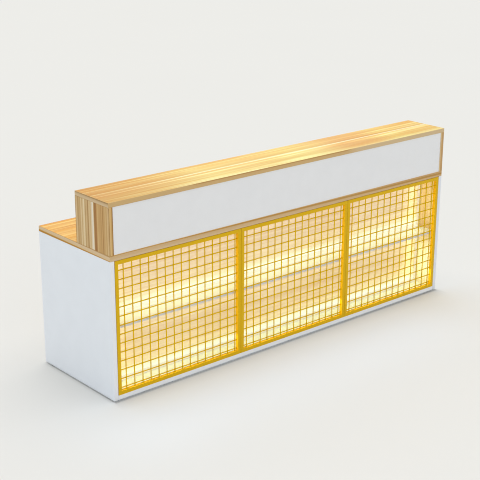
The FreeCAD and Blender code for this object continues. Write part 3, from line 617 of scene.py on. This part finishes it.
def tape(name):
    """White light tape with its yellow chips."""
    paint = Paint(name, Roughness=0.5)
    half = 0.5 / LEDS_PER_METRE
    steps = [paint.calc("PINGPONG", paint.axis(letter), half) for letter in "XZ"]
    chip = paint.below(paint.smaller(*steps), half * CHIP_SHARE)
    return paint.finish(paint.mix(chip, tone(240, 238, 228), tone(235, 200, 60)))


def brushed(name, axis, colour, shade, roughness):
    """Metal brushed along one axis."""
    paint = Paint(name, Metallic=1.0)
    scratches = paint.noise(along(axis, 12.0, 1800.0), 3.0, 0.6)
    cloud = paint.noise(even(25.0))
    return paint.finish(paint.mottled(cloud, shade, colour), paint.vary(scratches, roughness, 0.08),
                        scratches, depth=0.00005, strength=0.3)


def plated(name):
    """Zinc plated sheet with its faint spangle."""
    paint = Paint(name, Metallic=1.0)
    spangle = paint.cells(even(140.0))
    grey = paint.add("ShaderNodeRGBToBW", {"Color": spangle}).outputs["Val"]
    colour = paint.mottled(grey, tone(178, 180, 184), tone(208, 210, 213), 0.2, 0.8)
    return paint.finish(colour, paint.span(grey, 0.2, 0.8, 0.3, 0.45))


def plastic(paint, colour, shade):
    """Moulded plastic: its clouded colour and its spark-eroded skin."""
    skin = paint.noise(even(2200.0))
    return paint.mottled(paint.noise(even(30.0)), shade, colour), skin


def moulded(name, colour, shade, roughness):
    """Plain moulded plastic."""
    paint = Paint(name, IOR=PLASTIC_IOR)
    clouded, skin = plastic(paint, colour, shade)
    return paint.finish(clouded, paint.vary(skin, roughness, 0.06), skin, **ERODED)


def seamed_case(name):
    """White moulded case with a seam at each end cover and a row of vents between them, the vents
    painted dark as shade in their slits.
    """
    paint = Paint(name, IOR=PLASTIC_IOR, Roughness=0.45)
    case, skin = plastic(paint, tone(236, 236, 234), tone(228, 228, 227))
    off = paint.off("X")
    seam = paint.below(paint.calc("ABSOLUTE", paint.minus(off, CASE_SEAM)), SEAM_HALF)
    slit = paint.below(paint.calc("PINGPONG", off, VENT_PITCH / 2), VENT_HALF)
    in_row = paint.times(paint.below(off, VENT_ROW),
                         paint.below(paint.off("Z", CASE_MIDDLE), VENT_RISE))
    # Dark seams, and painted shade in the vent slits.
    seams_and_vent_shade = paint.larger(seam, paint.times(slit, in_row))
    return paint.finish(paint.mix(seams_and_vent_shade, case, SEAM_AND_VENT_SHADE), None, skin, **ERODED)


def floor_paint():
    """Plain pale studio floor, darker where it meets the desk's front and ends."""
    paint = Paint("studio_floor", Roughness=0.95, Specular_IOR_Level=0.0)
    plain = paint.mottled(paint.noise(even(0.6)), FLOOR_TONE, FLOOR_PALE, *NOISE_RANGE)
    (_, front, _), (right, rear, _) = CAD_BOX
    beside = paint.larger(paint.minus(paint.off("X"), right), 0.0)
    before = paint.larger(paint.minus(front, paint.axis("Y")), 0.0)
    reach = paint.across(paint.times(beside, SHADE_SQUEEZE), before)
    at_end = paint.times(paint.above(beside, 0.0),
                         paint.span(paint.axis("Y"), rear, rear - SHADE_FADE))
    outside = paint.larger(paint.above(before, 0.0), at_end)
    shade = paint.ramp(paint.calc("DIVIDE", reach, SHADE_REACH), *SHADE)
    return paint.finish(paint.mix(outside, plain, paint.tinted(plain, shade)))


BLACK = moulded("black_nylon", tone(34, 34, 36), tone(26, 26, 28), 0.5)
CAP = moulded("white_cap", tone(238, 239, 240), tone(230, 231, 233), 0.4)
ZINC = plated("zinc_plate")
WIRE = powder_coat("yellow_wire_coat", tone(231, 192, 2), tone(221, 180, 1), 0.0)


def dress():
    """Give every node of the desk its material."""
    white = laminate("white_melamine")
    grey = laminate("grey_melamine", tone(206, 206, 202), tone(198, 198, 195), 0.5)
    yellow = powder_coat("yellow_powder_coat", tone(231, 186, 10), tone(221, 174, 6), 0.16)
    bar = {axis: brushed(f"brushed_bar_{axis.lower()}", axis, tone(206, 206, 208),
                         tone(192, 192, 195), 0.32) for axis in "XZ"}
    leaf = brushed("satin_hinge_leaf", "Z", tone(198, 198, 200), tone(184, 184, 187), 0.36)
    finishes = {
        "worktop": striped_slab("striped_worktop", "worktop", WORK_TONES, WORK_FRONT, WORK_END,
                                seed=6.3, shine=WORK_SHINE),
        "hutch_top": striped_slab("striped_top", "hutch_top", TOP_TONES, TOP_FRONT, TOP_END,
                                  seed=1.3, shine=WOOD_SHINE, highlight_streak=HIGHLIGHT_STREAK, lengthwise=TOP_SHEEN_RUN,
                                  depthwise=TOP_DEEP, dark_run=DARK_RUN),
        "hutch_left_end": striped_end("striped_left_end", "hutch_left_end", seed=2.2,
                                      edge_gain=LEFT_END_GAIN, lined=True),
        "hutch_right_end": striped_end("striped_right_end", "hutch_right_end", seed=5.6,
                                       edge_gain=RIGHT_END_GAIN, lined=False),
        # Painted light: the fascia's white is a copy of the boards' white, made less blue for the
        # light on its front.
        "hutch_fascia": laminate("lit_front_melamine", tone(238, 238, 239), tone(236, 236, 237)),
        "display_back": pale_timber("pale_timber"),
        # The front edge tones of these boards are painted light and shade.
        "display_floor": laminate("floor_melamine", edge=FLOOR_EDGE_LIGHT),
        "display_shelf": laminate("shelf_melamine", edge=SHELF_EDGE_SHADE),
        "left_end_panel": lined_board("lined_left_board", LEFT_EDGE_LIGHT),
        "right_end_panel": lined_board("lined_right_board", RIGHT_EDGE_SHADE),
        "led_channels": brushed("anodised_channel", "X", tone(222, 222, 224),
                                tone(210, 210, 213), 0.4),
        "led_tapes": tape("light_tape"),
        "led_diffusers": opal("opal_cover"),
        "led_driver": seamed_case("white_case"),
        "right_partition": drilled_board("drilled_partition", highest("right_partition", "X")),
        "glides": BLACK,
        "cable_grommet": moulded("grey_moulding", tone(120, 122, 124), tone(108, 110, 112), 0.45),
        "shelf_supports": ZINC,
        "outer_runners": ZINC,
        "carcass_hinge_leaves": leaf,
    }
    for side in ("left", "right"):
        finishes[f"{side}_door_handle"] = bar["Z"]
        finishes[f"{side}_door_hinge_leaves"] = leaf
    for panel in PANELS:
        finishes[f"mesh_frame_{panel}"] = yellow
        finishes[f"mesh_wires_{panel}"] = WIRE
    for drawer in DRAWERS:
        finishes[f"{drawer}_drawer_handle"] = bar["X"]
        for board in ("sides", "back", "floor"):
            finishes[f"{drawer}_drawer_{board}"] = grey
        for member in ("inner", "middle"):
            finishes[f"{drawer}_drawer_{member}_runners"] = ZINC
    for name, piece in NODES.items():
        for slot in piece.material_slots:
            slot.material = finishes.get(name, white)


def mesh_object(name, vertices, faces, material):
    """A new mesh in the scene."""
    mesh = bpy.data.meshes.new(name)
    mesh.from_pydata(vertices, [], faces)
    mesh.materials.append(material)
    piece = bpy.data.objects.new(name, mesh)
    bpy.context.collection.objects.link(piece)
    return piece


def turned(profile, spots, sides, recess, hollow):
    """Vertices and faces of a profile turned at each spot, perhaps with a cross sunk in its top."""
    vertices = []
    faces = []
    widest = profile[0][0]
    for place, direction in spots:
        turn = Vector(direction).to_track_quat("Z", "Y").to_matrix()
        first = len(vertices)
        for radius, rise in profile:
            for step in range(sides):
                angle = 2 * math.pi * step / sides
                on_arm = step % (sides // 4) == 0 or radius < CROSS_CORE * widest
                height = rise - recess if radius < CROSS_REACH * widest and on_arm else rise
                point = Vector((radius * math.cos(angle), radius * math.sin(angle), height))
                vertices.append(Vector(place) + turn @ point)
        rings = list(range(first, len(vertices), sides))
        for ring, following in zip(rings, rings[1:] + rings[:1] if hollow else rings[1:]):
            for step in range(sides):
                after = (step + 1) % sides
                faces.append((ring + step, ring + after, following + after, following + step))
        if not hollow:
            faces.append(tuple(range(rings[-1], rings[-1] + sides)))
            faces.append(tuple(range(first + sides - 1, first - 1, -1)))
    return vertices, faces


def fittings(name, body, material, profile, spots, sides=24, recess=0.0, hollow=False):
    """Small turned pieces in one mesh, set at places along directions."""
    piece = mesh_object(name, *turned(profile, spots, sides, recess, hollow), material)
    piece.data.shade_smooth()
    piece.data.set_sharp_from_angle(angle=SHARP_ANGLE)
    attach(piece, body)


def small_fittings():
    """Screws, weld beads, cover caps and bushings."""
    hinge_screws()
    handle_screws()
    weld_beads()
    board = (lowest("cupboard_floor", "Z") + highest("cupboard_floor", "Z")) / 2
    walls = ((highest("left_partition", "X"), 1), (lowest("right_partition", "X"), -1))
    caps = [((x, y, board), (lean, 0, 0)) for x, lean in walls for y in CAP_Y]
    fittings("cover_caps", "desk", CAP, COVER_CAP, caps)
    case_face = highest("led_driver", "Y")
    held = [((x, case_face, CASE_MIDDLE + up), (0, 1, 0)) for x in (-CASE_SCREW_X, CASE_SCREW_X)
            for up in (-CASE_SCREW_UP, CASE_SCREW_UP)]
    fittings("case_screws", "desk", ZINC, SCREW_HEAD, held, recess=SCREW_RECESS)
    bushed = [((x, BACK_REAR, z), (0, 1, 0)) for x, z in LEAD_HOLES]
    fittings("lead_bushings", "desk", BLACK, BUSHING, bushed, hollow=True)


def hinge_screws():
    """Three flush screws in each hinge leaf, on the faces that show when a door is open."""
    low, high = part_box("carcass_hinge_leaves")
    heights = [middle + step for middle in (low[2] + HINGE_HALF, high[2] - HINGE_HALF)
               for step in (-HINGE_PITCH, 0, HINGE_PITCH)]
    deep = low[1] + LEAF_HALF
    leaves = ((low[0] + FRAME_LEAF, 1), (high[0] - FRAME_LEAF, -1))
    spots = [((x, deep, z), (lean, 0, 0)) for x, lean in leaves for z in heights]
    fittings("frame_leaf_screws", "desk", ZINC, SCREW_HEAD, spots,
             recess=SCREW_RECESS)
    for side, x, lean in (("left", low[0] + DOOR_LEAF, -1), ("right", high[0] - DOOR_LEAF, 1)):
        spots = [((x, deep, z), (lean, 0, 0)) for z in heights]
        fittings(f"{side}_leaf_screws", f"{side}_door", ZINC, SCREW_HEAD, spots,
                 recess=SCREW_RECESS)


def handle_screws():
    """Two pan head screws behind each bar handle, on the inside of its front."""
    for name in [f"{drawer}_drawer" for drawer in DRAWERS] + ["left_door", "right_door"]:
        is_drawer = name.endswith("drawer")
        low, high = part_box(f"{name}_handle")
        inside = lowest(f"{name}_front" if is_drawer else name, "Y")
        half = (high[2] - low[2]) / 2 if is_drawer else (high[0] - low[0]) / 2
        near = (low[0] + half, inside, low[2] + half)
        far = (high[0] - half, inside, high[2] - half)
        spots = [(place, (0, -1, 0)) for place in (near, far)]
        fittings(f"{name}_handle_screws", name, ZINC, PAN_HEAD, spots,
                 recess=PAN_RECESS)


def weld_beads():
    """A bead where each mesh wire meets its frame."""
    for panel in PANELS:
        low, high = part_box(f"mesh_wires_{panel}")
        spots = []
        for wire_low, wire_high in wires(NODES[f"mesh_wires_{panel}"].data):
            centre = (wire_low + wire_high) / 2
            axis = 2 if wire_high[2] - wire_low[2] > wire_high[0] - wire_low[0] else 0
            for end, lean in ((low[axis], 1), (high[axis], -1)):
                place = centre.copy()
                place[axis] = end
                spots.append((place, tuple(lean if i == axis else 0 for i in range(3))))
        fittings(f"weld_beads_{panel}", "desk", WIRE, WELD_BEAD, spots,
                 sides=BEAD_SIDES)


def wires(mesh):
    """Lowest and highest corner of each separate wire of a mesh."""
    copy = bmesh.new()
    copy.from_mesh(mesh)
    bmesh.ops.remove_doubles(copy, verts=copy.verts, dist=SAME_POINT)
    waiting = set(copy.verts)
    found = []
    while waiting:
        group = [waiting.pop()]
        for vertex in group:
            near = {edge.other_vert(vertex) for edge in vertex.link_edges} & waiting
            waiting -= near
            group.extend(near)
        corners = [[pick(vertex.co[axis] for vertex in group) for axis in range(3)]
                   for pick in (min, max)]
        found.append(tuple(Vector(corner) for corner in corners))
    copy.free()
    return sorted(found, key=lambda pair: tuple(pair[0]))


def studio():
    """Floor, even surrounding light, soft overhead lights and the recess's own glow."""
    far = FLOOR_REACH
    corners = [(-far, -far, 0), (far, -far, 0), (far, far, 0), (-far, far, 0)]
    floor = mesh_object("studio_floor", corners, [(0, 1, 2, 3)], floor_paint())
    world = bpy.data.worlds.new("studio_world")
    bpy.context.scene.world = world
    world.use_nodes = True
    surround = world.node_tree.nodes["Background"]
    surround.inputs["Color"].default_value = WORLD_COLOUR
    surround.inputs["Strength"].default_value = WORLD_STRENGTH
    sun = bpy.data.lights.new("overhead", "SUN")
    sun.energy = SUN_STRENGTH
    sun.angle = SUN_SPREAD
    sun.color = SUN_COLOUR
    lamp = bpy.data.objects.new("overhead", sun)
    lamp.rotation_euler = SUN_TILT
    bpy.context.collection.objects.link(lamp)
    lit = receivers("lit_pieces", NODES)
    NODES["led_diffusers"].light_linking.receiver_collection = lit
    panel_light("rear_softbox", size=(2.2, 1.4), power=14, colour=(1.0, 0.93, 0.78),
                place=(4.2, 4.4, 2.9), target=(0.4, -0.2, 1.0), falls_on=lit)
    ground = bpy.data.collections.new("lit_floor")
    ground.objects.link(floor)
    panel_light("floor_fill", size=(2.4, 0.3), power=1.9, colour=(0.47, 0.68, 1.0),
                place=(-0.3, -0.65, 0.4), target=(-0.3, -0.65, 0), falls_on=ground)
    recess_glow()
    frame_glow()


def recess_glow():
    """What the light bars give the recess: bands on its back, light on its boards and ends."""
    inner = 2 * INNER_X
    wall = receivers("recess_back", ("display_back",))
    ends = receivers("recess_ends", ("left_end_panel", "right_end_panel"))
    for level, (board, strips, shelf, end) in RECESS.items():
        foot = highest(board, "Z")
        on_board = receivers(f"{level}_recess_shelf", (board,))
        for strip in strips:
            z = foot + strip.rise
            panel_light(f"{level}_{strip.name}", (inner, strip.tall), strip.power, strip.tint,
                        (0, BACK_FRONT - strip.reach, z), (0, BACK_FRONT, z), wall)
        y = BACK_FRONT - shelf.reach
        panel_light(f"{level}_{shelf.name}", (inner, shelf.tall), shelf.power, shelf.tint,
                    (0, y, foot + shelf.rise), (0, y, foot), on_board)
        for side in (-1, 1):
            x, z = side * (INNER_X - COLUMN.reach), foot + COLUMN.rise
            panel_light(f"{level}_{COLUMN.name}", (COLUMN_WIDE, COLUMN.tall), COLUMN.power,
                        COLUMN.tint, (x, BACK_FRONT - COLUMN.reach, z), (x, BACK_FRONT, z), wall)
            x, y, z = side * INNER_X, BACK_FRONT - END_BEFORE, foot + end.rise
            panel_light(f"{level}_{end.name}", (END_WIDE, end.tall), end.power, end.tint,
                        (x - side * end.reach, y, z), (x, y, z), ends)


def frame_glow():
    """What the light bars give the inner faces of the mesh frames, left, right and below."""
    for panel in PANELS:
        low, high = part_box(f"mesh_frame_{panel}")
        across, deep, middle = ((low[axis] + high[axis]) / 2 for axis in range(3))
        wide, tall = (high[axis] - low[axis] - 2 * FRAME_MARGIN for axis in (0, 2))
        foot = low[2] + TUBE
        only = receivers(f"{panel}_frame_only", (f"mesh_frame_{panel}",))
        for face, inward in ((low[0] + TUBE, FLANK_REACH), (high[0] - TUBE, -FLANK_REACH)):
            panel_light(f"{panel}_flank", (TUBE, tall), FLANK_POWER, FRAME_TINT,
                        (face + inward, deep, middle), (face, deep, middle), only, only)
        panel_light(f"{panel}_foot", (wide, TUBE), FOOT_POWER, FRAME_TINT,
                    (across, deep, foot + FLANK_REACH), (across, deep, foot), only, only)


def receivers(name, names):
    """The pieces that a light falls on."""
    chosen = bpy.data.collections.new(name)
    for node in names:
        chosen.objects.link(NODES[node])
    return chosen


def panel_light(name, size, power, colour, place, target, falls_on, shaded_by=None):
    """A soft rectangular light that falls on some pieces only, and may be shaded by some only."""
    lamp = bpy.data.lights.new(name, "AREA")
    lamp.shape = "RECTANGLE"
    lamp.size, lamp.size_y = size
    lamp.energy = power
    lamp.color = colour
    piece = bpy.data.objects.new(name, lamp)
    piece.location = place
    piece.rotation_euler = (Vector(target) - Vector(place)).to_track_quat("-Z", "Y").to_euler()
    piece.visible_camera = False
    piece.light_linking.receiver_collection = falls_on
    piece.light_linking.blocker_collection = shaded_by
    bpy.context.collection.objects.link(piece)


def viewpoint():
    """Camera at the photograph's viewing angle."""
    yaw, pitch, roll = (math.radians(angle) for angle in (YAW, PITCH, ROLL))
    camera = bpy.data.cameras.new("view")
    camera.sensor_width = SENSOR_WIDTH
    camera.lens = FOCAL_LENGTH * SENSOR_WIDTH / IMAGE_SIDE
    camera.clip_end = FARTHEST
    turn = (Matrix.Rotation(-yaw, 4, "Z") @ Matrix.Rotation(math.pi / 2 - pitch, 4, "X")
            @ Matrix.Rotation(-roll, 4, "Z"))
    eye = bpy.data.objects.new("view", camera)
    eye.matrix_world = Matrix.Translation(EYE) @ turn
    bpy.context.collection.objects.link(eye)
    bpy.context.scene.camera = eye


dress()
small_fittings()
studio()
viewpoint()
bpy.context.scene.view_settings.view_transform = "Standard"
bpy.context.scene.cycles.filter_width = PIXEL_FILTER
